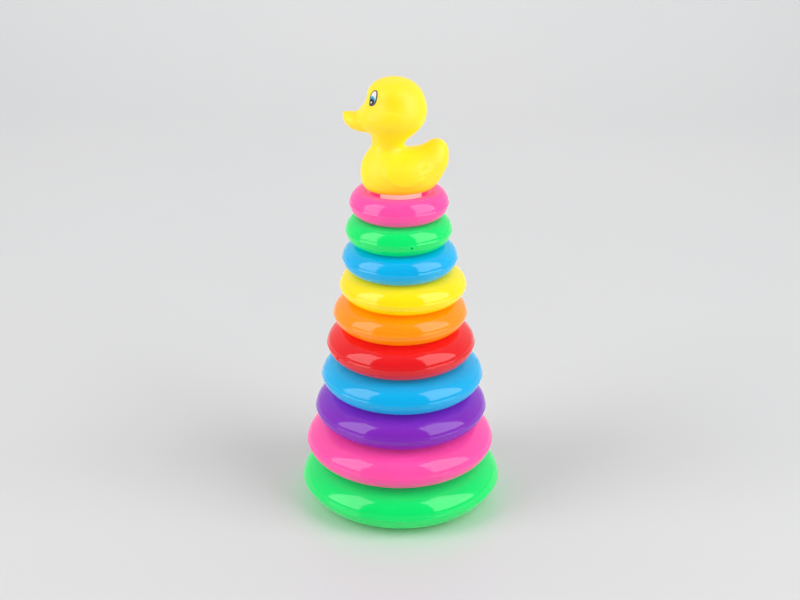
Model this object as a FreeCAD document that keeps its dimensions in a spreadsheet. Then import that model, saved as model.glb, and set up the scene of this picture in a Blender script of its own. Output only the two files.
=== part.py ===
import FreeCAD, Part
import os
import Sketcher

# Stacking-ring tower: a base ring with a tapered column snapped into it, nine loose rings that drop
# over the column, and a duck that plugs onto the column's spigot. Millimetres, +Z up. The origin is on
# the table, at the centre of the base ring. The duck faces -X.

Vector = FreeCAD.Vector
doc = FreeCAD.newDocument("stacking_tower")

# ---------------------------------------------------------------------------------------------------
# Driving dimensions
# ---------------------------------------------------------------------------------------------------

# Loose rings from the top down: name, largest diameter, height, and how far along X the ring lies from
# the column's axis.
LOOSE_RINGS = [
    ("ring_1_pink", 61.1, 16.8, -1.15),
    ("ring_2_green", 65.9, 17.7, -1.35),
    ("ring_3_blue", 71.7, 17.8, -0.65),
    ("ring_4_yellow", 79.5, 18.2, 1.35),
    ("ring_5_orange", 84.3, 19.0, -0.45),
    ("ring_6_red", 93.9, 21.5, -0.05),
    ("ring_7_blue", 102.9, 21.6, 0.85),
    ("ring_8_purple", 109.9, 22.7, -0.05),
    ("ring_9_pink", 120.7, 24.5, -0.65),
]

SIZES = {
    "base_ring_diameter": 128.3,
    "base_ring_height": 28.5,
    "foot_trim": 0.3,
    "smallest_hole": 29.1,
    "hole_growth": 0.3,
    "ring_wall": 1.4,
    "stack_gap": 0.15,
    "column_wall": 1.6,
    "flange_lift": 0.5,
    "flange_diameter": 61.0,
    "flange_thickness": 2.0,
    "plug_diameter": 48.6,
    "snap_height": 18.5,
    "snap_bead": 0.5,
    "plug_height": 21.0,
    "cone_foot_diameter": 35.6,
    "cone_foot_height": 25.0,
    "cone_top_diameter": 24.9,
    "blow_hole": 6.0,
    "spigot_diameter": 18.0,
    "spigot_length": 15.0,
    "spigot_chamfer": 1.0,
    "spigot_clearance": 0.08,
    "duck_gap": 0.3,
    "duck_wall": 1.4,
    "socket_depth": 16.0,
    "head_length": 40.6,
    "head_width": 37.0,
    "head_height": 39.0,
    "head_forward": 5.2,
    "head_lift": 49.3,
    "body_length": 49.0,
    "body_width": 42.0,
    "body_height": 31.0,
    "body_forward": 0.3,
    "body_lift": 14.5,
    "neck_diameter": 20.4,
    "neck_forward": 7.1,
    "beak_length": 23.0,
    "beak_width": 17.0,
    "beak_height": 10.0,
    "beak_forward": 25.2,
    "beak_lift": 42.4,
    "beak_tilt": 32.0,
    "tail_length": 32.0,
    "tail_width": 20.0,
    "tail_height": 15.0,
    "tail_back": 15.0,
    "tail_lift": 21.6,
    "tail_tilt": -35.0,
    "eye_length": 9.6,
    "eye_width": 4.9,
    "eye_thickness": 0.2,
    "eye_bearing": 34.6,
    "eye_rise": 27.0,
    "eye_roll": 14.0,
    "eye_forward": 10.7,
    "eye_side": 13.0,
    "eye_up": 8.7,
}

for ring_name, diameter, height, lie in LOOSE_RINGS:
    SIZES[ring_name + "_diameter"] = diameter
    SIZES[ring_name + "_height"] = height
    SIZES[ring_name + "_lie"] = lie

sheet = doc.addObject("Spreadsheet::Sheet", "sizes")
for row, (alias, number) in enumerate(SIZES.items(), start=1):
    sheet.set(f"A{row}", alias)
    sheet.set(f"B{row}", str(number))
    sheet.setAlias(f"B{row}", alias)
doc.recompute()

TOP_RING = LOOSE_RINGS[0][0]
subparts = []


def value(expression):
    """Work out an expression of sheet cells as a plain number."""
    result = sheet.evalExpression(expression)
    return float(getattr(result, "Value", result))


def cell(name):
    """The expression that reads one cell of the sheet."""
    return "sizes." + name


# ---------------------------------------------------------------------------------------------------
# Helpers for sketched bodies
# ---------------------------------------------------------------------------------------------------

def new_body(name):
    """Start the body of one sub-part."""
    body = doc.addObject("PartDesign::Body", name)
    body.Label = name
    subparts.append(body)
    return body


def new_sketch(body, name):
    """A sketch on the body's upright XZ plane: sketch x is radial, sketch y is height."""
    sketch = body.newObject("Sketcher::SketchObject", name)
    plane = next(item for item in body.Origin.OriginFeatures if item.Role == "XZ_Plane")
    sketch.AttachmentSupport = (plane, [""])
    sketch.MapMode = "FlatFace"
    return sketch


def bind(sketch, constraint, expression):
    """Add a dimensional constraint that follows an expression."""
    index = sketch.addConstraint(constraint)
    sketch.setExpression(f"Constraints[{index}]", expression)


def place_point(sketch, line, x_expression, y_expression):
    """Hold the start of a line at a place measured from the sketch's origin."""
    if x_expression == "0":
        sketch.addConstraint(Sketcher.Constraint("PointOnObject", line, 1, -2))
    else:
        across = Sketcher.Constraint("DistanceX", -1, 1, line, 1, value(x_expression))
        bind(sketch, across, x_expression)
    if y_expression == "0":
        sketch.addConstraint(Sketcher.Constraint("PointOnObject", line, 1, -1))
    else:
        up = Sketcher.Constraint("DistanceY", -1, 1, line, 1, value(y_expression))
        bind(sketch, up, y_expression)


def add_outline(sketch, corners):
    """Draw a closed outline of straight lines through (x, y) pairs of expressions."""
    points = [Vector(value(x), value(y), 0) for x, y in corners]
    first = sketch.GeometryCount
    count = len(points)
    for index, point in enumerate(points):
        sketch.addGeometry(Part.LineSegment(point, points[(index + 1) % count]), False)
    for index in range(count):
        following = first + (index + 1) % count
        sketch.addConstraint(Sketcher.Constraint("Coincident", first + index, 2, following, 1))
    for index, (x, y) in enumerate(corners):
        place_point(sketch, first + index, x, y)


def add_ellipse(sketch, centre, half_width, half_height):
    """Draw an ellipse centred on the sketch's x axis, sized by expressions."""
    middle = Vector(value(centre), 0, 0)
    side = middle + Vector(value(half_width), 0, 0)
    crown = middle + Vector(0, value(half_height), 0)
    lies_flat = value(half_width) >= value(half_height)
    if lies_flat:
        ellipse, long_size, short_size = Part.Ellipse(side, crown, middle), half_width, half_height
    else:
        ellipse, long_size, short_size = Part.Ellipse(crown, side, middle), half_height, half_width
    index = sketch.addGeometry(ellipse, False)
    sketch.exposeInternalGeometry(index)
    long_axis = index + 1
    short_axis = index + 2
    sketch.addConstraint(Sketcher.Constraint("PointOnObject", index, 3, -1))
    sketch.addConstraint(Sketcher.Constraint("Horizontal" if lies_flat else "Vertical", long_axis))
    bind(sketch, Sketcher.Constraint("DistanceX", -1, 1, index, 3, value(centre)), centre)
    bind(sketch, Sketcher.Constraint("Distance", long_axis, 2 * value(long_size)), f"2 * {long_size}")
    bind(sketch, Sketcher.Constraint("Distance", short_axis, 2 * value(short_size)), f"2 * {short_size}")


def turn(body, kind, name, sketch):
    """Turn a sketch a full circle about the body's upright axis, adding or cutting."""
    feature = body.newObject("PartDesign::" + kind, name)
    feature.Profile = sketch
    feature.ReferenceAxis = (sketch, ["V_Axis"])
    feature.Angle = 360
    doc.recompute()
    return feature


# ---------------------------------------------------------------------------------------------------
# Rings: blow-moulded hollow rings of oval section
# ---------------------------------------------------------------------------------------------------

def make_ring(name, half_height):
    """Make one hollow ring, centred on its own origin."""
    hole = (f"({cell('smallest_hole')} / 2 + {cell('hole_growth')}"
            f" * ({cell(name + '_diameter')} - {cell(TOP_RING + '_diameter')}) / 2)")
    outside = f"({cell(name + '_diameter')} / 2)"
    centre = f"(({outside} + {hole}) / 2)"
    half_width = f"(({outside} - {hole}) / 2)"
    wall = cell("ring_wall")

    body = new_body(name)
    section = new_sketch(body, name + "_section")
    add_ellipse(section, centre, half_width, half_height)
    add_ellipse(section, centre, f"({half_width} - {wall})", f"({half_height} - {wall})")
    turn(body, "Revolution", name + "_shell", section)
    return body


def make_base_ring():
    """The base ring: as the others, with its underside trimmed to a flat foot."""
    half_height = f"(({cell('base_ring_height')} + {cell('foot_trim')}) / 2)"
    body = make_ring("base_ring", half_height)
    before = body.Shape.Volume
    trim = new_sketch(body, "foot_trim_section")
    floor = f"({cell('foot_trim')} - {half_height})"
    below = f"(-1 - {half_height})"
    reach = cell("base_ring_diameter") + " / 2"
    add_outline(trim, [("1", below), (reach, below), (reach, floor), ("1", floor)])
    turn(body, "Groove", "foot_trim_cut", trim)
    if body.Shape.Volume >= before:
        raise RuntimeError("base_ring: the foot trim cuts nothing")
    body.setExpression("Placement.Base.z", f"{half_height} - {cell('foot_trim')}")


make_base_ring()
stack_top = cell("base_ring_height")
for ring_name, *_ in reversed(LOOSE_RINGS):
    ring_height = cell(ring_name + "_height")
    ring = make_ring(ring_name, f"({ring_height} / 2)")
    ring.setExpression("Placement.Base.x", cell(ring_name + "_lie"))
    ring.setExpression("Placement.Base.z", f"{stack_top} + {cell('stack_gap')} + {ring_height} / 2")
    stack_top = f"{stack_top} + {cell('stack_gap')} + {ring_height}"

duck_floor = f"({stack_top} + {cell('duck_gap')})"


# ---------------------------------------------------------------------------------------------------
# Column: blow-moulded hollow cone. Its flange sits under the base ring's hole and its snap bead above
# the waist of that hole, so the ring is held between them. Its spigot carries the duck.
# ---------------------------------------------------------------------------------------------------

def make_column():
    """Turn the whole wall of the column from one outline, outside first, then inside."""
    body = new_body("column")
    wall = cell("column_wall")
    blow = cell("blow_hole") + " / 2"
    flange = cell("flange_diameter") + " / 2"
    flange_bottom = cell("flange_lift")
    flange_top = f"({flange_bottom} + {cell('flange_thickness')})"
    plug = cell("plug_diameter") + " / 2"
    snap = cell("snap_height")
    bead = cell("snap_bead")
    plug_top = cell("plug_height")
    cone_foot = cell("cone_foot_diameter") + " / 2"
    cone_start = cell("cone_foot_height")
    cone_top = cell("cone_top_diameter") + " / 2"
    shoulder = duck_floor
    spigot = cell("spigot_diameter") + " / 2"
    tip = f"({duck_floor} + {cell('spigot_length')})"
    chamfer = cell("spigot_chamfer")
    outside = [
        (blow, flange_bottom),
        (flange, flange_bottom),
        (flange, flange_top),
        (plug, flange_top),
        (plug, f"{snap} - 1.5 * {bead}"),
        (f"{plug} + {bead}", snap),
        (plug, f"{snap} + 1.5 * {bead}"),
        (plug, plug_top),
        (cone_foot, cone_start),
        (cone_top, shoulder),
        (spigot, shoulder),
        (spigot, f"{tip} - {chamfer}"),
        (f"{spigot} - {chamfer}", tip),
        ("0", tip),
    ]
    inside = [
        ("0", f"{tip} - {wall}"),
        (f"{spigot} - {wall}", f"{tip} - {wall}"),
        (f"{spigot} - {wall}", f"{shoulder} - {wall}"),
        (f"{cone_top} - {wall}", f"{shoulder} - {wall}"),
        (f"{cone_foot} - {wall}", f"{cone_start} - {wall} / 2"),
        (f"{plug} - {wall}", f"{plug_top} - {wall} / 2"),
        (f"{plug} - {wall}", f"{flange_top} + {wall} / 2"),
        (blow, f"{flange_top} + {wall} / 2"),
    ]
    outline = new_sketch(body, "column_outline")
    add_outline(outline, outside + inside)
    turn(body, "Revolution", "column_wall_turned", outline)


make_column()


# ---------------------------------------------------------------------------------------------------
# Duck: a hollow blow-moulded figure with a socket in its underside, and two eye stickers
# ---------------------------------------------------------------------------------------------------

DUCK_LUMPS = [
    # name, offset along X (forward is -X), offset in height, tilt about Y
    ("head", f"-{cell('head_forward')}", cell("head_lift"), None),
    ("body", f"-{cell('body_forward')}", cell("body_lift"), None),
    ("beak", f"-{cell('beak_forward')}", cell("beak_lift"), cell("beak_tilt")),
    ("tail", cell("tail_back"), cell("tail_lift"), cell("tail_tilt")),
]


def make_lump(lump, along, lift, tilt, shrink, name):
    """One ellipsoid of the duck, its surface moved inwards by the expression shrink."""
    ellipsoid = doc.addObject("Part::Ellipsoid", name)
    ellipsoid.setExpression("Radius1", f"{cell(lump + '_height')} / 2 - {shrink}")
    ellipsoid.setExpression("Radius2", f"{cell(lump + '_length')} / 2 - {shrink}")
    ellipsoid.setExpression("Radius3", f"{cell(lump + '_width')} / 2 - {shrink}")
    ellipsoid.Angle1 = -90
    ellipsoid.Angle2 = 90
    ellipsoid.Angle3 = 360
    if tilt:
        tilted = FreeCAD.Rotation(Vector(0, 1, 0), value(tilt))
        ellipsoid.Placement = FreeCAD.Placement(Vector(0, 0, 0), tilted)
    ellipsoid.setExpression("Placement.Base.x", along)
    ellipsoid.setExpression("Placement.Base.z", f"{duck_floor} + {lift}")
    return ellipsoid


def make_cylinder(name, radius, length, base_height, along=None):
    """An upright cylinder sized and placed by expressions."""
    cylinder = doc.addObject("Part::Cylinder", name)
    cylinder.setExpression("Radius", radius)
    cylinder.setExpression("Height", length)
    cylinder.setExpression("Placement.Base.z", base_height)
    if along:
        cylinder.setExpression("Placement.Base.x", along)
    return cylinder


def fuse(name, pieces):
    """Join several shapes into one."""
    union = doc.addObject("Part::MultiFuse", name)
    union.Shapes = pieces
    return union


def combine(kind, name, base, tool):
    """Cut or intersect one shape with another."""
    result = doc.addObject("Part::" + kind, name)
    result.Base = base
    result.Tool = tool
    return result


def make_figure(name, shrink):
    """The duck's outer form, or with a shrink its hollow, cut off flat underneath."""
    lumps = [make_lump(lump, along, lift, tilt, shrink, f"{name}_{lump}")
             for lump, along, lift, tilt in DUCK_LUMPS]
    neck_radius = f"{cell('neck_diameter')} / 2 - {shrink}"
    neck_base = f"{duck_floor} + {cell('body_lift')}"
    neck_length = f"{cell('head_lift')} - {cell('body_lift')}"
    neck = make_cylinder(name + "_neck", neck_radius, neck_length, neck_base, f"-{cell('neck_forward')}")
    union = fuse(name + "_union", lumps + [neck])
    slab = doc.addObject("Part::Box", name + "_slab")
    slab.setExpression("Length", f"2 * {cell('body_length')}")
    slab.setExpression("Width", f"2 * {cell('body_length')}")
    slab.setExpression("Height", cell("body_height"))
    slab.setExpression("Placement.Base.x", f"-{cell('body_length')}")
    slab.setExpression("Placement.Base.y", f"-{cell('body_length')}")
    slab.setExpression("Placement.Base.z", f"{duck_floor} + {shrink} - {cell('body_height')}")
    return combine("Cut", name, union, slab)


def make_duck():
    """Hollow out the figure round a walled socket, then open the socket and its blow hole."""
    figure = make_figure("duck_figure", "0")
    hollow = make_figure("duck_hollow", cell("duck_wall"))
    socket_radius = f"{cell('spigot_diameter')} / 2 + {cell('spigot_clearance')}"
    boss = make_cylinder("socket_boss", f"{socket_radius} + {cell('duck_wall')}",
                         f"{cell('socket_depth')} + {cell('duck_wall')}", duck_floor)
    cavity = combine("Cut", "duck_cavity", hollow, boss)
    shell = combine("Cut", "duck_shell", figure, cavity)
    socket = make_cylinder("duck_socket", socket_radius, f"{cell('socket_depth')} + 1",
                           f"{duck_floor} - 1")
    vent = make_cylinder("duck_vent", cell("blow_hole") + " / 2",
                         f"{cell('duck_wall')} + 2", f"{duck_floor} + {cell('socket_depth')} - 1")
    openings = fuse("duck_openings", [socket, vent])
    duck = combine("Cut", "duck_body", shell, openings)
    duck.Label = "duck_body"
    subparts.append(duck)


def make_eyes():
    """Two thin oval stickers that follow the curve of the head."""
    head_row = DUCK_LUMPS[0]
    head = make_lump(*head_row, "0", "eye_head")
    skin = make_lump(*head_row, f"(-{cell('eye_thickness')})", "eye_skin")
    layer = combine("Cut", "eye_layer", skin, head)
    oval = doc.addObject("Part::Ellipse", "eye_oval")
    oval.setExpression("MajorRadius", cell("eye_length") + " / 2")
    oval.setExpression("MinorRadius", cell("eye_width") + " / 2")
    prism = doc.addObject("Part::Extrusion", "eye_prism")
    prism.Base = oval
    prism.Dir = Vector(0, 0, 1)
    prism.LengthFwd = 4
    prism.LengthRev = 4
    prism.Solid = True
    upright = FreeCAD.Rotation(Vector(0, 0, 1), -value(cell("eye_roll")))
    rise = FreeCAD.Rotation(Vector(0, 1, 0), 90 - value(cell("eye_rise")))
    bearing = FreeCAD.Rotation(Vector(0, 0, 1), -90 - value(cell("eye_bearing")))
    prism.Placement = FreeCAD.Placement(Vector(0, 0, 0), bearing * rise * upright)
    prism.setExpression("Placement.Base.x", f"-{cell('head_forward')} - {cell('eye_forward')}")
    prism.setExpression("Placement.Base.y", f"-{cell('eye_side')}")
    prism.setExpression("Placement.Base.z", f"{duck_floor} + {cell('head_lift')} + {cell('eye_up')}")
    eye_left = combine("Common", "eye_left", layer, prism)
    eye_left.Label = "eye_left"
    eye_right = doc.addObject("Part::Mirroring", "eye_right")
    eye_right.Source = eye_left
    eye_right.Normal = Vector(0, 1, 0)
    eye_right.Label = "eye_right"
    subparts.extend([eye_left, eye_right])


make_duck()
make_eyes()
doc.recompute()

# ---------------------------------------------------------------------------------------------------
# Checks, then one STEP file for each sub-part
# ---------------------------------------------------------------------------------------------------

failed = [item.Name for item in doc.Objects if "Invalid" in item.State or "Error" in item.State]
if failed:
    raise RuntimeError("objects that did not compute: " + ", ".join(failed))

for part in subparts:
    if part.Shape.isNull() or not part.Shape.isValid() or part.Shape.Volume <= 0:
        raise RuntimeError("bad shape: " + part.Label)

os.makedirs("parts", exist_ok=True)
for part in subparts:
    part.Shape.exportStep(os.path.join("parts", part.Label + ".step"))
    box = part.Shape.BoundBox
    print(f"{part.Label:15s} solids {len(part.Shape.Solids)}  {part.Shape.Volume / 1000:7.2f} cm3"
          f"  x {box.XMin:7.2f} {box.XMax:7.2f}  y {box.YMin:7.2f} {box.YMax:7.2f}"
          f"  z {box.ZMin:7.2f} {box.ZMax:7.2f}")
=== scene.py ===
import math

import bpy
import numpy as np
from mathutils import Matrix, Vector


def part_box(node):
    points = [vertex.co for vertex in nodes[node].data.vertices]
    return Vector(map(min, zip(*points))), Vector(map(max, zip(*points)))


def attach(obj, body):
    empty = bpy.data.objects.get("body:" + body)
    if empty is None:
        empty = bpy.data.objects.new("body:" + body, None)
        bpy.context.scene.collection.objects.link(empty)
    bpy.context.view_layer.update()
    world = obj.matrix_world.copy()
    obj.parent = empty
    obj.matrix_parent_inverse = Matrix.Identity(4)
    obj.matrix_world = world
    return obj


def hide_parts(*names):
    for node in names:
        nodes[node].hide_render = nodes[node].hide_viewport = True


# Stacking-ring tower with a duck on top. The rings and the column are turned (lathed) meshes built round
# their CAD solids, and the duck is a solid grown from a distance field.

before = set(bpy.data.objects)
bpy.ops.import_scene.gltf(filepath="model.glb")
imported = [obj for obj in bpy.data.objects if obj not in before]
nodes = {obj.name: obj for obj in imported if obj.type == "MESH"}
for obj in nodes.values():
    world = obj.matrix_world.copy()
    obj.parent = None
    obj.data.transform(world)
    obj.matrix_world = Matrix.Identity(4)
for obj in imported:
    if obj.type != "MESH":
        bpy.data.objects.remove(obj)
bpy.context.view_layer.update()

MM = 0.001
TWO_PI = 2 * math.pi


# ---------------------------------------------------------------------------------------------------
# Meshes
# ---------------------------------------------------------------------------------------------------

def new_mesh_object(name, points, faces):
    """A smooth-shaded mesh object from points in metres and faces as tuples of point numbers."""
    mesh = bpy.data.meshes.new(name)
    mesh.from_pydata([tuple(map(float, p)) for p in points], [], [tuple(map(int, f)) for f in faces])
    mesh.validate()
    mesh.polygons.foreach_set("use_smooth", [True] * len(mesh.polygons))
    mesh.update()
    piece = bpy.data.objects.new(name, mesh)
    bpy.context.scene.collection.objects.link(piece)
    return piece


def vertices_of(node):
    """A CAD node's vertices as an array, in metres."""
    mesh = nodes[node].data
    points = np.zeros(len(mesh.vertices) * 3, np.float32)
    mesh.vertices.foreach_get("co", points)
    return points.reshape(-1, 3).astype(float)


def grid_faces(rows, columns):
    """Quads of a grid that closes on itself both ways."""
    row, column = np.meshgrid(np.arange(rows), np.arange(columns), indexing="ij")
    next_row = (row + 1) % rows
    next_column = (column + 1) % columns
    corners = [row * columns + column, row * columns + next_column,
               next_row * columns + next_column, next_row * columns + column]
    return np.stack(corners, axis=-1).reshape(-1, 4)


def smooth_step(edge_low, edge_high, x):
    """0 below edge_low, 1 above edge_high, and a smooth rise between."""
    t = np.clip((x - edge_low) / (edge_high - edge_low), 0.0, 1.0)
    return t * t * (3 - 2 * t)


# ---------------------------------------------------------------------------------------------------
# Rings
# ---------------------------------------------------------------------------------------------------

SEAM_RISE = 0.2 * MM           # how far the mould's parting band stands proud
SEAM_HALF_WIDTH = 0.8 * MM
SEAM_EDGE = 0.2 * MM
FLASH_RISE = 0.14 * MM         # the thin flash line in the middle of the band
FLASH_WIDTH = 0.2 * MM
BASE_TUCK = 1.45               # the base curves in under its rim more tightly than the loose rings
RING_WAVE = 0.05 * MM          # how unevenly the blown wall shrank back
WAVES = [(2, 1), (3, 1), (5, 2), (7, 1), (9, 3), (13, 2)]    # how often round the ring, and across
NEEDLE_RADIUS = 0.7 * MM
NEEDLE_DEPTH = 1.6 * MM
DIMPLE_RADIUS = 1.7 * MM
DIMPLE_DEPTH = 0.3 * MM
LIP_RADIUS = 1.3 * MM          # a small raised lip round the needle hole
LIP_WIDTH = 0.35 * MM
LIP_RISE = 0.45 * MM
NEEDLE_BELOW = 1.7 * MM        # the hole lies this far under the parting line
FINE_STEP = 0.16 * MM          # spacing of the mesh rows beside the parting line and the needle hole
FINE_REACH = 3.2 * MM
SECTION_STEPS = 84
BEARING_STEPS = 168


def graded_turn(radius, centre, coarse_steps):
    """Angles round a circle of that radius, spaced finely within FINE_REACH of the angle centre."""
    fine_half = FINE_REACH / radius
    fine_count = int(round(2 * FINE_REACH / FINE_STEP))
    fine = np.linspace(-fine_half, fine_half, fine_count, endpoint=False)
    coarse = np.linspace(fine_half, TWO_PI - fine_half, coarse_steps, endpoint=False)
    return np.concatenate([fine, coarse]) + centre


def make_ring(node, body, material, needle_bearing, seed, tuck):
    """A blow-moulded ring: oval section, parting band, slightly uneven wall and a needle hole.

    tuck is 1 for an oval underside, and more for one that curves in more tightly."""
    low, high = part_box(node)
    cad = vertices_of(node)
    centre_x = (low.x + high.x) / 2
    outer = (high.x - low.x) / 2 - SEAM_RISE - FLASH_RISE
    hole = np.hypot(cad[:, 0] - centre_x, cad[:, 1]).min() + SEAM_RISE
    half_width = (outer - hole) / 2
    middle = (outer + hole) / 2
    top_half = (high.z - low.z) / 2
    equator = high.z - top_half

    section = graded_turn(top_half, 0.0, SECTION_STEPS)
    bearing = graded_turn(outer, needle_bearing, BEARING_STEPS)
    v, u = np.meshgrid(section, bearing, indexing="ij")

    # Unevenness: a few slow waves round the ring and across the section, always inwards.
    random = np.random.default_rng(seed)
    wave = np.zeros_like(u)
    for round_count, across_count in WAVES:
        phase_u, phase_v = random.uniform(0, TWO_PI, 2)
        ripple = np.sin(round_count * u + phase_u) * np.cos(across_count * v + phase_v)
        wave += ripple / math.sqrt(round_count)
    wave = RING_WAVE * (wave / np.abs(wave).max() - 1) / 2

    height = top_half * np.sin(v)
    height = np.where(height < 0, -top_half * np.abs(np.sin(v)) ** tuck, height)
    band = 0.5 * np.tanh((height + SEAM_HALF_WIDTH) / SEAM_EDGE)
    band -= 0.5 * np.tanh((height - SEAM_HALF_WIDTH) / SEAM_EDGE)
    seam = SEAM_RISE * band + FLASH_RISE * np.exp(-(height / FLASH_WIDTH) ** 2)

    along = outer * (((u - needle_bearing + math.pi) % TWO_PI) - math.pi)
    inner_side = np.where(np.cos(v) > 0, 0.0, 1.0)
    from_needle = np.hypot(along, height + NEEDLE_BELOW) + inner_side
    well = 1 - smooth_step(0.7 * NEEDLE_RADIUS, 1.15 * NEEDLE_RADIUS, from_needle)
    dimple = np.exp(-(from_needle / DIMPLE_RADIUS) ** 2)
    lip = np.exp(-((from_needle - LIP_RADIUS) / LIP_WIDTH) ** 2)
    sunk = DIMPLE_DEPTH * dimple + NEEDLE_DEPTH * well - LIP_RISE * lip

    # Outward direction of the oval section, and the surface moved along it.
    normal_r = np.cos(v) / half_width
    normal_z = np.sin(v) / top_half
    scale = np.hypot(normal_r, normal_z)
    offset = wave + seam * (1 - dimple) - sunk
    radius = middle + half_width * np.cos(v) + offset * normal_r / scale
    z = equator + height + offset * normal_z / scale
    z = np.maximum(z, low.z)
    points = np.stack([centre_x + radius * np.cos(u), radius * np.sin(u), z], axis=-1).reshape(-1, 3)
    piece = new_mesh_object(node + "_moulding", points, grid_faces(*u.shape)[:, ::-1])
    piece.data.materials.append(material)
    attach(piece, body)
    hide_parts(node)
    return piece


# ---------------------------------------------------------------------------------------------------
# Column
# ---------------------------------------------------------------------------------------------------

FOOT_HEIGHT = 25 * MM           # where the tapered shaft starts
PLUG_TOP = 21 * MM
BLOW_HOLE_RADIUS = 3 * MM
BLOW_HOLE_DEPTH = 3 * MM
SNAP_BEAD_RISE = 0.5 * MM
SNAP_BEAD_HALF_HEIGHT = 0.75 * MM
SPIGOT_CHAMFER = 1 * MM
MOULD_GATE_RADIUS = 0.6 * MM
COLUMN_ROW = 6 * MM             # greatest height of one row of faces
COLUMN_STEPS = 144
ARC_STEPS = 6
LONGEST_ARC = 0.45              # an arc takes at most this share of the run beside it


def rounded_outline(corners):
    """Points along straight runs joined by arcs. corners are (radius, height, corner radius)."""
    points = []
    count = len(corners)
    for index, (r, z, bend) in enumerate(corners):
        here = np.array([r, z])
        if bend == 0 or index in (0, count - 1):
            points.append(here)
            continue
        back = np.array(corners[index - 1][:2]) - here
        ahead = np.array(corners[index + 1][:2]) - here
        back_length, ahead_length = np.linalg.norm(back), np.linalg.norm(ahead)
        back, ahead = back / back_length, ahead / ahead_length
        half_turn = math.acos(float(np.clip(back @ ahead, -1, 1))) / 2
        reach = min(bend / math.tan(half_turn), LONGEST_ARC * back_length, LONGEST_ARC * ahead_length)
        start, end = here + back * reach, here + ahead * reach
        for t in np.linspace(0, 1, ARC_STEPS + 1):
            points.append((1 - t) ** 2 * start + 2 * t * (1 - t) * here + t * t * end)
    return np.array(points)


def make_column(material):
    """The column: flange, plug, snap bead, tapered shaft, shoulder and spigot, with a blow hole below.

    Its radii and heights are read off its CAD solid."""
    low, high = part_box("column")
    cad = vertices_of("column")
    radius = np.hypot(cad[:, 0], cad[:, 1])
    height = cad[:, 2]
    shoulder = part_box("duck_body")[0].z
    spigot = radius[height > shoulder + 2 * MM].max()
    neck = radius[np.abs(height - shoulder) < 0.5 * MM].max()
    flange = radius.max()
    flange_top = height[radius > flange - 0.2 * MM].max()
    plug_zone = (height > flange_top + 1 * MM) & (height < PLUG_TOP + 1 * MM)
    bead = radius[plug_zone].max()
    bead_height = height[plug_zone][np.argmax(radius[plug_zone])]
    plug = bead - SNAP_BEAD_RISE
    foot = radius[np.abs(height - FOOT_HEIGHT) < 0.5 * MM].max()
    blow_hole_roof = low.z + BLOW_HOLE_DEPTH
    corners = [
        (BLOW_HOLE_RADIUS, blow_hole_roof, 0),
        (BLOW_HOLE_RADIUS, low.z, 0.5 * MM),
        (flange, low.z, 0.6 * MM),
        (flange, flange_top, 0.6 * MM),
        (plug, flange_top, 0.4 * MM),
        (plug, bead_height - SNAP_BEAD_HALF_HEIGHT, 0.2 * MM),
        (bead, bead_height, 0.3 * MM),
        (plug, bead_height + SNAP_BEAD_HALF_HEIGHT, 0.2 * MM),
        (plug, PLUG_TOP, 1.2 * MM),
        (foot, FOOT_HEIGHT, 2.0 * MM),
        (neck, shoulder, 0.9 * MM),
        (spigot, shoulder, 0.4 * MM),
        (spigot, high.z - SPIGOT_CHAMFER, 0.4 * MM),
        (spigot - SPIGOT_CHAMFER, high.z, 0.4 * MM),
        (MOULD_GATE_RADIUS, high.z, 0),
    ]
    outline = rounded_outline(corners)
    # Long straight runs get more rows, so that the shading has points to use.
    rows = [outline[0]]
    for point in outline[1:]:
        run = np.linalg.norm(point - rows[-1])
        for _ in range(int(run / COLUMN_ROW)):
            ahead = point - rows[-1]
            rows.append(rows[-1] + ahead * min(1.0, COLUMN_ROW / np.linalg.norm(ahead)))
        rows.append(point)
    rows = np.array(rows)
    steps = COLUMN_STEPS
    bearing = np.linspace(0, TWO_PI, steps, endpoint=False)
    r, u = np.meshgrid(rows[:, 0], bearing, indexing="ij")
    z = np.repeat(rows[:, 1:2], steps, axis=1)
    points = np.stack([r * np.cos(u), r * np.sin(u), z], axis=-1).reshape(-1, 3)
    faces = [f for f in grid_faces(len(rows), steps) if max(f) - min(f) < 2 * steps]
    last = len(rows) - 1
    tip = len(points)
    roof = tip + 1
    points = np.vstack([points, [[0, 0, high.z]], [[0, 0, blow_hole_roof]]])
    caps = [(last * steps + k, last * steps + (k + 1) % steps, tip) for k in range(steps)]
    caps += [((k + 1) % steps, k, roof) for k in range(steps)]
    all_faces = [tuple(f) for f in faces] + caps
    piece = new_mesh_object("column_moulding", points, all_faces)
    piece.data.materials.append(material)
    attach(piece, "base")
    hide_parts("column")
    return piece


# ---------------------------------------------------------------------------------------------------
# Duck: a distance field in millimetres, x and y as in the part, z from the duck's underside
# ---------------------------------------------------------------------------------------------------

def ellipsoid(p, centre, radii, tilt=0.0):
    """Rough distance to an ellipsoid, tilted about Y."""
    x, y, z = p[0] - centre[0], p[1] - centre[1], p[2] - centre[2]
    x, z = math.cos(tilt) * x + math.sin(tilt) * z, math.cos(tilt) * z - math.sin(tilt) * x
    inner = np.sqrt((x / radii[0]) ** 2 + (y / radii[1]) ** 2 + (z / radii[2]) ** 2)
    slope = np.sqrt((x / radii[0] ** 2) ** 2 + (y / radii[1] ** 2) ** 2 + (z / radii[2] ** 2) ** 2)
    return inner * (inner - 1) / np.maximum(slope, 1e-9)


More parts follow.
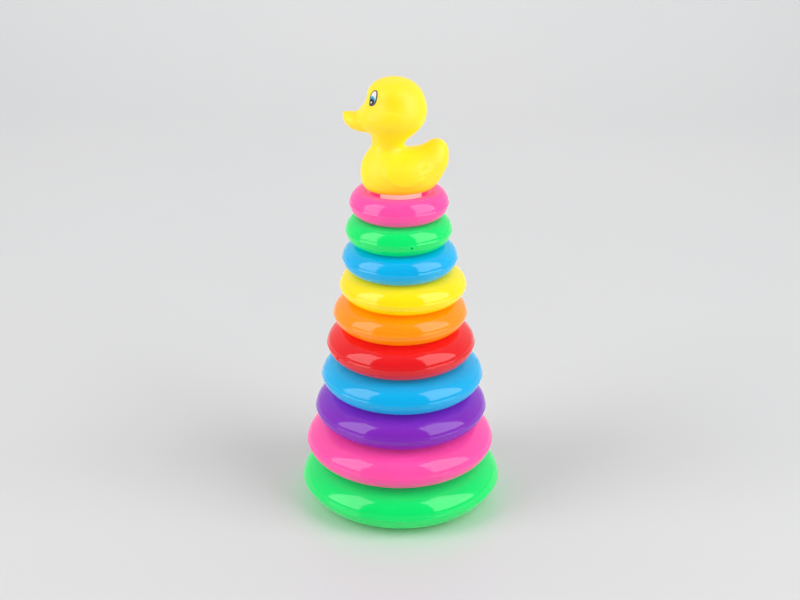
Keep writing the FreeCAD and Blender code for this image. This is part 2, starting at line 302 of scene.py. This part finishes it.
def taper(p, start, end, start_radius, end_radius, wide=1.0):
    """Distance to a round bar that changes radius along its run in the y = 0 plane, widened across Y."""
    run_x, run_z = end[0] - start[0], end[1] - start[1]
    t = ((p[0] - start[0]) * run_x + (p[2] - start[1]) * run_z) / (run_x ** 2 + run_z ** 2)
    t = np.clip(t, 0, 1)
    off_x, off_z = p[0] - start[0] - t * run_x, p[2] - start[1] - t * run_z
    away = np.sqrt(off_x ** 2 + (p[1] / wide) ** 2 + off_z ** 2)
    return away - start_radius - (end_radius - start_radius) * t


def join(a, b, blend):
    """Smooth union of two distances."""
    share = np.clip(0.5 + 0.5 * (b - a) / blend, 0, 1)
    return b * (1 - share) + a * share - blend * share * (1 - share)


def carve(a, b, blend):
    """Distance to a with b cut away, the edge rounded."""
    return -join(-a, b, blend)


BEAK_WIDE = 1.75               # the beak is this much wider than it is thick
BEAK_ROOT = (-16.0, 41.6)
BEAK_BEND = (-28.1, 40.1)      # the curve's pull point: the beak runs forward, then flips up
BEAK_TIP = (-33.3, 46.3)
BEAK_ROOT_RADIUS = 5.9
BEAK_TIP_RADIUS = 1.4
BEAK_THINNING = 2.8            # the higher, the nearer to its tip the beak thins
BEAK_SECTIONS = 12


def beak_form(p):
    """Distance to the beak: a flat bar along a curve that flips up, thinning only near its tip."""
    t = np.linspace(0, 1, BEAK_SECTIONS + 1)
    spine = np.outer((1 - t) ** 2, BEAK_ROOT) + np.outer(2 * t * (1 - t), BEAK_BEND)
    spine += np.outer(t * t, BEAK_TIP)
    radius = BEAK_ROOT_RADIUS - (BEAK_ROOT_RADIUS - BEAK_TIP_RADIUS) * t ** BEAK_THINNING
    sections = [taper(p, spine[k], spine[k + 1], radius[k], radius[k + 1], BEAK_WIDE)
                for k in range(BEAK_SECTIONS)]
    return np.minimum.reduce(sections)


# Rounded lumps: centre, radii along X, Y and Z, and tilt about Y.
HEAD = ((-2.6, 0, 46.6), (15.8, 18.3, 19.3), -0.8)
SKULL = ((-5.5, 0, 58.3), (14.2, 15.4, 9.7))
JAW = ((-7.5, 0, 45.6), (18.3, 18.6, 7.2))
CHEEK = ((-13.6, 8.0, 46.0), (8.2, 7.8, 8.2))
BODY = ((0.8, 0, 9.0), (23.9, 20.5, 15.7), 0.18)
BREAST = ((-7.8, 0, 10.2), (16.2, 18.2, 16.6))
# Round bars: start and end as (x, z), the radius at each, and how much wider than thick.
NECK = ((-8.9, 27.3), (-9.6, 15.0), 7.3, 11.0)
TAIL = ((9.6, 11.8), (19.8, 20.0), 8.0, 8.5, 1.15)
TAIL_TIP = ((19.8, 20.0), (21.3, 23.7), 8.5, 7.1, 1.15)
# How softly the forms flow into each other.
SKULL_BLEND = 7.9
CHEEK_BLEND = 3.5
BEAK_BLEND = 2.2
BREAST_BLEND = 3.0
TAIL_TIP_BLEND = 2.0
TAIL_BLEND = 8.0
NECK_BLEND = 7.0
THROAT_BLEND = 8.0
UNDERSIDE_BLEND = 3.0


def duck_form(p):
    """The duck's smooth outer form: head, cheeks, beak, neck, body and upturned tail, cut flat below."""
    x, y, z = p
    head = join(ellipsoid(p, *HEAD), ellipsoid(p, *SKULL), SKULL_BLEND)
    head = join(head, ellipsoid(p, *JAW), SKULL_BLEND)
    head = join(head, ellipsoid((x, np.abs(y), z), *CHEEK), CHEEK_BLEND)
    head = join(head, beak_form(p), BEAK_BLEND)
    body = join(ellipsoid(p, *BODY), ellipsoid(p, *BREAST), BREAST_BLEND)
    tail = join(taper(p, *TAIL), taper(p, *TAIL_TIP), TAIL_TIP_BLEND)
    body = join(body, tail, TAIL_BLEND)
    whole = join(join(body, taper(p, *NECK), NECK_BLEND), head, THROAT_BLEND)
    return carve(whole, z, UNDERSIDE_BLEND)


CREASE_TOP = 52.9              # height of the cheek's crease where it starts beside the beak
CREASE_START = -16.0
CREASE_FALL = 0.0118           # how fast it curves down towards the back
CREASE_RISE = 0.38
WING_CENTRE = (5.0, 17.6)
WING_HALF_LENGTH = 16.0
WING_HALF_HEIGHT = 11.4
WING_TILT = 0.22
WING_RISE = 0.7
FEATHERS = [((8.5, 9.4), (13.3, 11.2)), ((11.7, 13.2), (17.5, 15.3)), ((10.0, 15.3), (16.0, 18.7))]
FEATHER_RISE = 0.7
FEATHER_WIDTH = 0.6


def duck_relief(p):
    """How far the moulded details stand out on both sides: cheek step, wing panel and feathers."""
    x, y, z = p
    on_side = smooth_step(5.0, 9.0, np.abs(y))

    crease = CREASE_TOP - CREASE_FALL * (x - CREASE_START) ** 2
    under = crease - z
    step = smooth_step(-0.7, 0.7, under) * np.exp(-np.maximum(under, 0) / 5.0)
    cheek = CREASE_RISE * step * smooth_step(-19.0, -15.0, x) * (1 - smooth_step(-7.0, 4.0, x))

    along = math.cos(WING_TILT) * (x - WING_CENTRE[0]) + math.sin(WING_TILT) * (z - WING_CENTRE[1])
    up = math.cos(WING_TILT) * (z - WING_CENTRE[1]) - math.sin(WING_TILT) * (x - WING_CENTRE[0])
    rim = (np.hypot(along / WING_HALF_LENGTH, up / WING_HALF_HEIGHT) - 1) * WING_HALF_HEIGHT
    fades = (1 - smooth_step(3.0, 15.0, along)) * (1 - smooth_step(-2.0, 7.0, up))
    wing = WING_RISE * (1 - smooth_step(-1.4, 0.5, rim)) * fades

    feathers = 0
    for start, end in FEATHERS:
        run_x, run_z = end[0] - start[0], end[1] - start[1]
        t = np.clip(((x - start[0]) * run_x + (z - start[1]) * run_z) / (run_x ** 2 + run_z ** 2), 0, 1)
        away = np.hypot(x - start[0] - t * run_x, z - start[1] - t * run_z)
        stroke = FEATHER_RISE * np.exp(-(away / FEATHER_WIDTH) ** 2) * (0.35 + 0.65 * t)
        feathers = np.maximum(feathers, stroke)
    return on_side * (cheek + wing + feathers)


SOCKET_RADIUS = 9.08           # round the column's spigot
SOCKET_DEPTH = 16.0
SOCKET_BLEND = 0.8
DUCK_LOW = (-37, -22, -1.5)    # the box that the distance field is sampled in
DUCK_HIGH = (30, 22, 70.5)
DUCK_CELL = 0.5


def duck_skin(p):
    """The outer surface with its moulded details."""
    return duck_form(p) - duck_relief(p)


def duck_field(p):
    """The finished duck: the skin with its socket."""
    socket = np.maximum(np.hypot(p[0], p[1]) - SOCKET_RADIUS, p[2] - SOCKET_DEPTH)
    return carve(duck_skin(p), socket, SOCKET_BLEND)


def surface_net(field, low, high, step):
    """Points and quads of the surface where field is zero, one point for each grid cell it crosses."""
    axes = [np.arange(a, b + step, step) for a, b in zip(low, high)]
    value = field(np.meshgrid(*axes, indexing="ij"))
    inside = value < 0
    shape = np.array(value.shape) - 1
    total = np.zeros((*shape, 3))
    count = np.zeros(shape)
    corner_shifts = [(i, j, k) for i in (0, 1) for j in (0, 1) for k in (0, 1)]

    def corner(array, shift):
        i, j, k = shift
        return array[i:i + shape[0], j:j + shape[1], k:k + shape[2]]

    for axis in range(3):
        for shift in corner_shifts:
            if shift[axis]:
                continue
            other = tuple(s + (n == axis) for n, s in enumerate(shift))
            a, b = corner(value, shift), corner(value, other)
            crossed = (a < 0) != (b < 0)
            t = np.where(crossed, a / np.where(crossed, a - b, 1.0), 0.0)
            for n in range(3):
                total[..., n] += crossed * (shift[n] + (t if n == axis else 0.0))
            count += crossed
    used = count > 0
    number = -np.ones(shape, int)
    number[used] = np.arange(used.sum())
    cell = np.argwhere(used)
    points = np.array(low) + step * (cell + total[used] / count[used][:, None])

    quads = []
    for axis in range(3):
        u, w = (axis + 1) % 3, (axis + 2) % 3
        a = np.moveaxis(inside, (axis, u, w), (0, 1, 2))
        ids = np.moveaxis(number, (axis, u, w), (0, 1, 2))
        change = a[:-1, 1:-1, 1:-1] != a[1:, 1:-1, 1:-1]
        i, j, k = np.nonzero(change)
        ring = [ids[i, j, k], ids[i, j + 1, k], ids[i, j + 1, k + 1], ids[i, j, k + 1]]
        quad = np.stack(ring, axis=-1)
        outward = a[:-1, 1:-1, 1:-1][i, j, k]
        quad[~outward] = quad[~outward][:, ::-1]
        quads.append(quad)
    return points, np.vstack(quads)


def gradient(field, points, reach=0.05):
    """The field's slope at each point, which points outwards."""
    columns = []
    for axis in range(3):
        shift = np.zeros(3)
        shift[axis] = reach
        columns.append(field((points + shift).T) - field((points - shift).T))
    slope = np.stack(columns, axis=-1) / (2 * reach)
    return slope


def settle(field, points, rounds=3):
    """Move points onto the surface where field is zero."""
    for _ in range(rounds):
        slope = gradient(field, points)
        size = np.maximum((slope ** 2).sum(axis=1), 1e-6)
        points = points - slope * (field(points.T) / size)[:, None]
    return points


def make_duck(material):
    """The duck's body as one closed mesh."""
    step = DUCK_CELL
    points, quads = surface_net(duck_field, DUCK_LOW, DUCK_HIGH, step)
    points = settle(duck_field, points)
    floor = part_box("duck_body")[0].z
    points = points * MM + np.array([0, 0, floor])
    piece = new_mesh_object("duck_moulding", points, quads)
    piece.data.materials.append(material)
    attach(piece, "duck")
    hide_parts("duck_body")
    return piece


EYE_CENTRE = (-14.9, -9.4, 58.3)  # on the side where Y is negative
EYE_UPWARDS = (4.8, 2.4, 8.9)     # direction of the oval's long axis
EYE_HALF_LENGTH = 5.3
EYE_HALF_WIDTH = 3.4
EYE_LIFT = 0.1                    # the print's layer stands this far off the skin
EYE_SUNK = 0.25                   # and reaches this far into it
EYE_RINGS = 14
EYE_SPOKES = 72


def make_eye(node, side, material):
    """One printed eye: a thin oval layer that lies on the head, with its own pattern coordinates."""
    centre = settle(duck_skin, np.array([EYE_CENTRE]) * (1, side, 1))[0]
    outward = gradient(duck_skin, centre[None])[0]
    outward /= np.linalg.norm(outward)
    upwards = np.array(EYE_UPWARDS) * (1, side, 1)
    upwards -= outward * (upwards @ outward)
    upwards /= np.linalg.norm(upwards)
    backwards = np.cross(upwards, outward) * side
    rings, spokes = EYE_RINGS, EYE_SPOKES
    reach = np.linspace(0, 1, rings + 1)[1:]
    turn = np.linspace(0, TWO_PI, spokes, endpoint=False)
    reach, turn = np.meshgrid(reach, turn, indexing="ij")
    across, up = (reach * np.cos(turn)).ravel(), (reach * np.sin(turn)).ravel()
    across, up = np.append(across, 0.0), np.append(up, 0.0)
    flat = centre + np.outer(across * EYE_HALF_WIDTH, backwards)
    flat += np.outer(up * EYE_HALF_LENGTH, upwards)
    on_skin = settle(duck_skin, flat)
    normals = gradient(duck_skin, on_skin)
    normals /= np.linalg.norm(normals, axis=1)[:, None]
    edge = np.hypot(across, up) > 0.99
    top = on_skin + normals * np.where(edge, 0.0, EYE_LIFT)[:, None]
    bottom = on_skin - normals * EYE_SUNK
    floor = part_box("duck_body")[0].z
    points = np.vstack([top, bottom]) * MM + np.array([0, 0, floor])

    count = len(top)
    faces = []
    for k in range(spokes):
        following = (k + 1) % spokes
        for ring in range(rings - 1):
            a, b = ring * spokes + k, ring * spokes + following
            c, d = b + spokes, a + spokes
            faces.append((a, d, c, b))
            faces.append((a + count, b + count, c + count, d + count))
        faces.append((count - 1, k, following))
        faces.append((2 * count - 1, following + count, k + count))
        outer = (rings - 1) * spokes
        faces.append((outer + k, outer + k + count, outer + following + count, outer + following))
    if side < 0:
        faces = [face[::-1] for face in faces]
    eye = new_mesh_object(node + "_print", points, faces)
    pattern = eye.data.uv_layers.new(name="pattern")
    for loop in eye.data.loops:
        place = loop.vertex_index % count
        pattern.data[loop.index].uv = (0.5 + across[place] / 2, 0.5 + up[place] / 2)
    eye.data.materials.append(material)
    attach(eye, "duck")
    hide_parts(node)
    return eye


# ---------------------------------------------------------------------------------------------------
# Materials
# ---------------------------------------------------------------------------------------------------

def to_linear(colour):
    """sRGB 0-255 to the linear values that shaders take."""
    values = []
    for channel in colour:
        c = channel / 255
        values.append(c / 12.92 if c <= 0.04045 else ((c + 0.055) / 1.055) ** 2.4)
    return (*values, 1.0)


def add_noise(tree, vector, scale, detail=2.0):
    """A noise texture node that follows the given coordinates."""
    node = tree.nodes.new("ShaderNodeTexNoise")
    node.inputs["Scale"].default_value = scale
    node.inputs["Detail"].default_value = detail
    tree.links.new(vector, node.inputs["Vector"])
    return node


def add_range(tree, value, low, high, from_low=0.3, from_high=0.7):
    """Map a value on to the range low to high."""
    node = tree.nodes.new("ShaderNodeMapRange")
    node.inputs["From Min"].default_value = from_low
    node.inputs["From Max"].default_value = from_high
    node.inputs["To Min"].default_value = low
    node.inputs["To Max"].default_value = high
    tree.links.new(value, node.inputs["Value"])
    return node.outputs["Result"]


def add_mix(tree, factor, a, b):
    """Mix two colours, each a plain colour or another node's output."""
    node = tree.nodes.new("ShaderNodeMix")
    node.data_type = "RGBA"
    tree.links.new(factor, node.inputs["Factor"])
    for socket, colour in ((node.inputs["A"], a), (node.inputs["B"], b)):
        if isinstance(colour, tuple):
            socket.default_value = colour
        else:
            tree.links.new(colour, socket)
    return node.outputs["Result"]


def add_bump(tree, height, strength, distance, under=None):
    """A bump node over another bump's normal."""
    node = tree.nodes.new("ShaderNodeBump")
    node.inputs["Strength"].default_value = strength
    node.inputs["Distance"].default_value = distance
    tree.links.new(height, node.inputs["Height"])
    if under is not None:
        tree.links.new(under, node.inputs["Normal"])
    return node.outputs["Normal"]


def shade(colour, share):
    """A colour with every channel scaled."""
    return tuple(min(1.0, c * share) for c in colour[:3]) + (1.0,)


# Plastic. Noise scales are in cycles per metre.
PLASTIC_IOR = 1.47
SCATTER_SHARE = 0.4
SCATTER_REACH = 7 * MM
SCATTER_BY_CHANNEL = (1.0, 0.8, 0.6)
TINT_SCALE = 35
TINT_DARK, TINT_LIGHT = 0.95, 1.03
GLOSS_SCALE = 110
GLOSS_LOW, GLOSS_HIGH = 0.8, 1.3   # shares of the plastic's roughness
RUB_SCALE = 260
RUB_ROUGHER = 0.06
WAVE_SCALE = 90
WAVE_STRENGTH = 0.2
WAVE_HEIGHT = 0.2 * MM
GRAIN_SCALE = 900
GRAIN_STRENGTH = 0.06
GRAIN_HEIGHT = 0.05 * MM
PARTING_FLAT = 0.05 * MM
PARTING_HALF_WIDTH = 0.3 * MM
PARTING_HEIGHT = 0.1 * MM


def plastic(name, colour, roughness=0.07, painted_glow_fill=0.19, parting_line=False):
    """Moulded plastic: slightly uneven colour and gloss, slow waves, a fine skin and a few rub marks.

    painted_glow_fill is painted light: the plastic's own colour emitted evenly, which lifts the shade in
    crevices, under the rings and on the column, and stands in for the light that comes through the thin
    hollow walls."""
    material = bpy.data.materials.new(name)
    material.use_nodes = True
    tree = material.node_tree
    shader = tree.nodes["Principled BSDF"]
    shader.inputs["IOR"].default_value = PLASTIC_IOR
    shader.inputs["Subsurface Weight"].default_value = SCATTER_SHARE
    shader.inputs["Subsurface Radius"].default_value = SCATTER_BY_CHANNEL
    shader.inputs["Subsurface Scale"].default_value = SCATTER_REACH
    place = tree.nodes.new("ShaderNodeTexCoord").outputs["Object"]

    base = to_linear(colour)
    cloud = add_range(tree, add_noise(tree, place, TINT_SCALE, 3).outputs["Fac"], 0.0, 1.0)
    tint = add_mix(tree, cloud, shade(base, TINT_DARK), shade(base, TINT_LIGHT))
    tree.links.new(tint, shader.inputs["Base Color"])
    # Painted glow: the tint is also emitted, evenly bright, lifting the shade in crevices and on
    # undersides.
    tree.links.new(tint, shader.inputs["Emission Color"])
    shader.inputs["Emission Strength"].default_value = painted_glow_fill

    rub = add_noise(tree, place, RUB_SCALE, 6).outputs["Fac"]
    gloss = add_noise(tree, place, GLOSS_SCALE, 4).outputs["Fac"]
    gloss = add_range(tree, gloss, roughness * GLOSS_LOW, roughness * GLOSS_HIGH)
    worn = tree.nodes.new("ShaderNodeMath")
    worn.operation = "ADD"
    tree.links.new(gloss, worn.inputs[0])
    tree.links.new(add_range(tree, rub, 0.0, RUB_ROUGHER, 0.6, 0.8), worn.inputs[1])
    tree.links.new(worn.outputs["Value"], shader.inputs["Roughness"])

    waves = add_noise(tree, place, WAVE_SCALE, 1).outputs["Fac"]
    normal = add_bump(tree, waves, WAVE_STRENGTH, WAVE_HEIGHT)
    grain = add_noise(tree, place, GRAIN_SCALE, 2).outputs["Fac"]
    normal = add_bump(tree, grain, GRAIN_STRENGTH, GRAIN_HEIGHT, normal)
    if parting_line:
        split = tree.nodes.new("ShaderNodeSeparateXYZ")
        tree.links.new(place, split.inputs["Vector"])
        side = tree.nodes.new("ShaderNodeMath")
        side.operation = "ABSOLUTE"
        tree.links.new(split.outputs["Y"], side.inputs[0])
        ridge = add_range(tree, side.outputs["Value"], 1.0, 0.0, PARTING_FLAT, PARTING_HALF_WIDTH)
        normal = add_bump(tree, ridge, 0.5, PARTING_HEIGHT, normal)
    tree.links.new(normal, shader.inputs["Normal"])
    return material


INK_IOR = 1.48
OUTLINE_INK = to_linear((62, 48, 52))
WHITE_INK = to_linear((250, 246, 242))
IRIS_INK = to_linear((40, 176, 222))
PUPIL_INK = to_linear((44, 34, 38))

# Inks of the printed eye from the bottom layer up: colour, centre (towards the back, up), half sizes.
# Places are shares of the oval's half sizes.
EYE_INKS = [
    (WHITE_INK, (0.0, 0.0), (0.70, 0.85)),
    (IRIS_INK, (-0.05, -0.42), (0.86, 0.60)),
    (PUPIL_INK, (-0.06, -0.55), (0.72, 0.44)),
    (WHITE_INK, (-0.16, -0.56), (0.20, 0.11)),
]


def eye_print(name):
    """The eye's ink: a white oval with a blue iris, a dark pupil and a glint, inside a dark outline."""
    material = bpy.data.materials.new(name)
    material.use_nodes = True
    tree = material.node_tree
    shader = tree.nodes["Principled BSDF"]
    shader.inputs["IOR"].default_value = INK_IOR
    coordinates = tree.nodes.new("ShaderNodeUVMap")
    coordinates.uv_map = "pattern"
    object_place = tree.nodes.new("ShaderNodeTexCoord").outputs["Object"]

    def oval_mask(centre, half_sizes):
        spread = tree.nodes.new("ShaderNodeMapping")
        spread.vector_type = "TEXTURE"
        spread.inputs["Location"].default_value = (0.5 + centre[0] / 2, 0.5 + centre[1] / 2, 0)
        spread.inputs["Scale"].default_value = (half_sizes[0] / 2, half_sizes[1] / 2, 1)
        tree.links.new(coordinates.outputs["UV"], spread.inputs["Vector"])
        length = tree.nodes.new("ShaderNodeVectorMath")
        length.operation = "LENGTH"
        tree.links.new(spread.outputs["Vector"], length.inputs[0])
        return add_range(tree, length.outputs["Value"], 1.0, 0.0, 0.95, 1.05)

    colour = OUTLINE_INK
    inside = oval_mask(*EYE_INKS[0][1:])
    for ink, centre, half_sizes in EYE_INKS:
        mask = oval_mask(centre, half_sizes)
        within = tree.nodes.new("ShaderNodeMath")
        within.operation = "MULTIPLY"
        tree.links.new(mask, within.inputs[0])
        tree.links.new(inside, within.inputs[1])
        colour = add_mix(tree, within.outputs["Value"], colour, ink)
    grain = add_range(tree, add_noise(tree, object_place, 700, 3).outputs["Fac"], 0.94, 1.0)
    speckled = tree.nodes.new("ShaderNodeMix")
    speckled.data_type = "RGBA"
    speckled.blend_type = "MULTIPLY"
    speckled.inputs["Factor"].default_value = 1.0
    tree.links.new(colour, speckled.inputs["A"])
    tree.links.new(grain, speckled.inputs["B"])
    tree.links.new(speckled.outputs["Result"], shader.inputs["Base Color"])
    gloss = add_range(tree, add_noise(tree, object_place, 300, 3).outputs["Fac"], 0.2, 0.34)
    tree.links.new(gloss, shader.inputs["Roughness"])
    skin = add_bump(tree, add_noise(tree, object_place, 1200, 2).outputs["Fac"], 0.1, 0.03 * MM)
    tree.links.new(skin, shader.inputs["Normal"])
    return material


FLOOR_SHADE = to_linear((219, 220, 221))
FLOOR_LIGHT = to_linear((223, 223, 224))


def floor_paper(name):
    """Pale satin paper, very slightly uneven in tone and gloss."""
    material = bpy.data.materials.new(name)
    material.use_nodes = True
    tree = material.node_tree
    shader = tree.nodes["Principled BSDF"]
    place = tree.nodes.new("ShaderNodeTexCoord").outputs["Object"]
    cloud = add_range(tree, add_noise(tree, place, 1.5, 2).outputs["Fac"], 0.0, 1.0)
    tree.links.new(add_mix(tree, cloud, FLOOR_SHADE, FLOOR_LIGHT), shader.inputs["Base Color"])
    gloss = add_range(tree, add_noise(tree, place, 6, 2).outputs["Fac"], 0.29, 0.36)
    tree.links.new(gloss, shader.inputs["Roughness"])
    return material


# ---------------------------------------------------------------------------------------------------
# The object
# ---------------------------------------------------------------------------------------------------

PINK = plastic("pink_plastic", (255, 79, 164))
GREEN = plastic("green_plastic", (4, 226, 108))
BLUE = plastic("blue_plastic", (2, 172, 228))
YELLOW = plastic("yellow_plastic", (252, 221, 8))
ORANGE = plastic("orange_plastic", (255, 146, 6))
RED = plastic("red_plastic", (224, 22, 28))
PURPLE = plastic("purple_plastic", (128, 36, 182))
# The column and the duck get a stronger painted glow, which lifts the shade under the duck and flattens
# the duck's shading.
WHITE = plastic("white_plastic", (246, 238, 232), roughness=0.36, painted_glow_fill=0.25)
DUCK_YELLOW = plastic("duck_yellow_plastic", (248, 218, 29), roughness=0.4, painted_glow_fill=0.23,
                      parting_line=True)
EYE_PRINT = eye_print("eye_print")

# Node, body, material, record slot, and bearing of the needle hole in degrees from +X.
RINGS = [
    ("base_ring", "base", GREEN, "green_plastic", 118),
    ("ring_9_pink", "ring_9_pink", PINK, "pink_plastic", 35),
    ("ring_8_purple", "ring_8_purple", PURPLE, "purple_plastic", 70),
    ("ring_7_blue", "ring_7_blue", BLUE, "blue_plastic", 150),
    ("ring_6_red", "ring_6_red", RED, "red_plastic", 212),
    ("ring_5_orange", "ring_5_orange", ORANGE, "orange_plastic", 95),
    ("ring_4_yellow", "ring_4_yellow", YELLOW, "yellow_plastic", 20),
    ("ring_3_blue", "ring_3_blue", BLUE, "blue_plastic", 130),
    ("ring_2_green", "ring_2_green", GREEN, "green_plastic", 284),
    ("ring_1_pink", "ring_1_pink", PINK, "pink_plastic", 60),
]
for seed, (node, body, material, slot, needle) in enumerate(RINGS):
    tuck = BASE_TUCK if body == "base" else 1.0
    ring = make_ring(node, body, material, math.radians(needle), seed, tuck)

make_column(WHITE)
make_duck(DUCK_YELLOW)
make_eye("eye_left", 1, EYE_PRINT)
make_eye("eye_right", -1, EYE_PRINT)


# ---------------------------------------------------------------------------------------------------
# Camera, lights and floor
# ---------------------------------------------------------------------------------------------------

CAMERA_PLACE = (-0.0006, -0.8176, 0.4792)
CAMERA_DOWN = math.radians(22.77)
SENSOR = 36.0
LENS = 63.54

FLOOR_HALF_WIDTH = 6.0
FLOOR_FRONT = -6.0
SWEEP_START = 0.9              # where the floor starts to curve up behind the object
SWEEP_RADIUS = 0.8
SWEEP_TURN = math.radians(50)
SWEEP_STEPS = 16

SOFTBOX_RADIANCE = 2.85
WASH_RADIANCE = 4.2
ROOM_DIM = 0.18
ROOM_BRIGHT = 0.66


def make_camera():
    """The photograph's view."""
    data = bpy.data.cameras.new("camera")
    data.sensor_width = SENSOR
    data.lens = LENS
    camera = bpy.data.objects.new("camera", data)
    camera.location = CAMERA_PLACE
    camera.rotation_euler = (math.pi / 2 - CAMERA_DOWN, 0, 0)
    bpy.context.scene.collection.objects.link(camera)
    bpy.context.scene.camera = camera


def make_area_light(name, width, height, place, turn, radiance):
    data = bpy.data.lights.new(name, "AREA")
    data.shape = "RECTANGLE"
    data.size = width
    data.size_y = height
    data.energy = radiance * math.pi * width * height
    light = bpy.data.objects.new(name, data)
    light.location = place
    light.rotation_euler = turn
    bpy.context.scene.collection.objects.link(light)


def make_softbox(name, inner, outer, low, high):
    """An upright softbox from one floor point to another, facing the object."""
    middle = (np.array(inner) + np.array(outer)) / 2
    run = np.array(outer) - np.array(inner)
    facing = np.array([-run[1], run[0]])
    if facing @ middle > 0:
        facing = -facing
    place = (middle[0], middle[1], (low + high) / 2)
    turn = (math.pi / 2, 0, math.atan2(-facing[0], facing[1]))
    make_area_light(name, float(np.hypot(*run)), high - low, place, turn, SOFTBOX_RADIANCE)


def make_floor():
    """A pale floor whose far edge curves up, but not so high that it hides a view from behind."""
    outline = [(FLOOR_FRONT, 0.0), (SWEEP_START, 0.0)]
    for step in range(1, SWEEP_STEPS + 1):
        angle = SWEEP_TURN * step / SWEEP_STEPS
        rise = SWEEP_RADIUS * (1 - math.cos(angle))
        outline.append((SWEEP_START + SWEEP_RADIUS * math.sin(angle), rise))
    points = [(side * FLOOR_HALF_WIDTH, y, z) for y, z in outline for side in (-1, 1)]
    faces = [(2 * k, 2 * k + 1, 2 * k + 3, 2 * k + 2) for k in range(len(outline) - 1)]
    floor = new_mesh_object("floor_sweep", points, faces)
    floor.data.materials.append(floor_paper("floor_paper"))


def make_room_light():
    """Even room light, dimmer on the viewer's side and brighter towards the back."""
    world = bpy.data.worlds.new("studio")
    world.use_nodes = True
    tree = world.node_tree
    background = tree.nodes["Background"]
    background.inputs["Color"].default_value = (1.0, 1.0, 1.0, 1.0)
    direction = tree.nodes.new("ShaderNodeTexCoord").outputs["Generated"]
    split = tree.nodes.new("ShaderNodeSeparateXYZ")
    tree.links.new(direction, split.inputs["Vector"])
    strength = add_range(tree, split.outputs["Y"], ROOM_DIM, ROOM_BRIGHT, -0.8, 0.6)
    tree.links.new(strength, background.inputs["Strength"])
    bpy.context.scene.world = world


make_camera()
make_floor()
make_softbox("softbox_left", (-0.86, -0.83), (-1.18, -0.05), 0.15, 2.2)
make_softbox("softbox_right", (0.73, -0.95), (1.18, -0.02), 0.2, 2.6)
# Above and behind the object, turned away from it towards the sweep.
make_area_light("backdrop_wash", 2.8, 0.6, (0, 0.55, 1.8), (math.radians(70), 0, 0), WASH_RADIANCE)
make_room_light()
bpy.context.scene.view_settings.view_transform = "Standard"
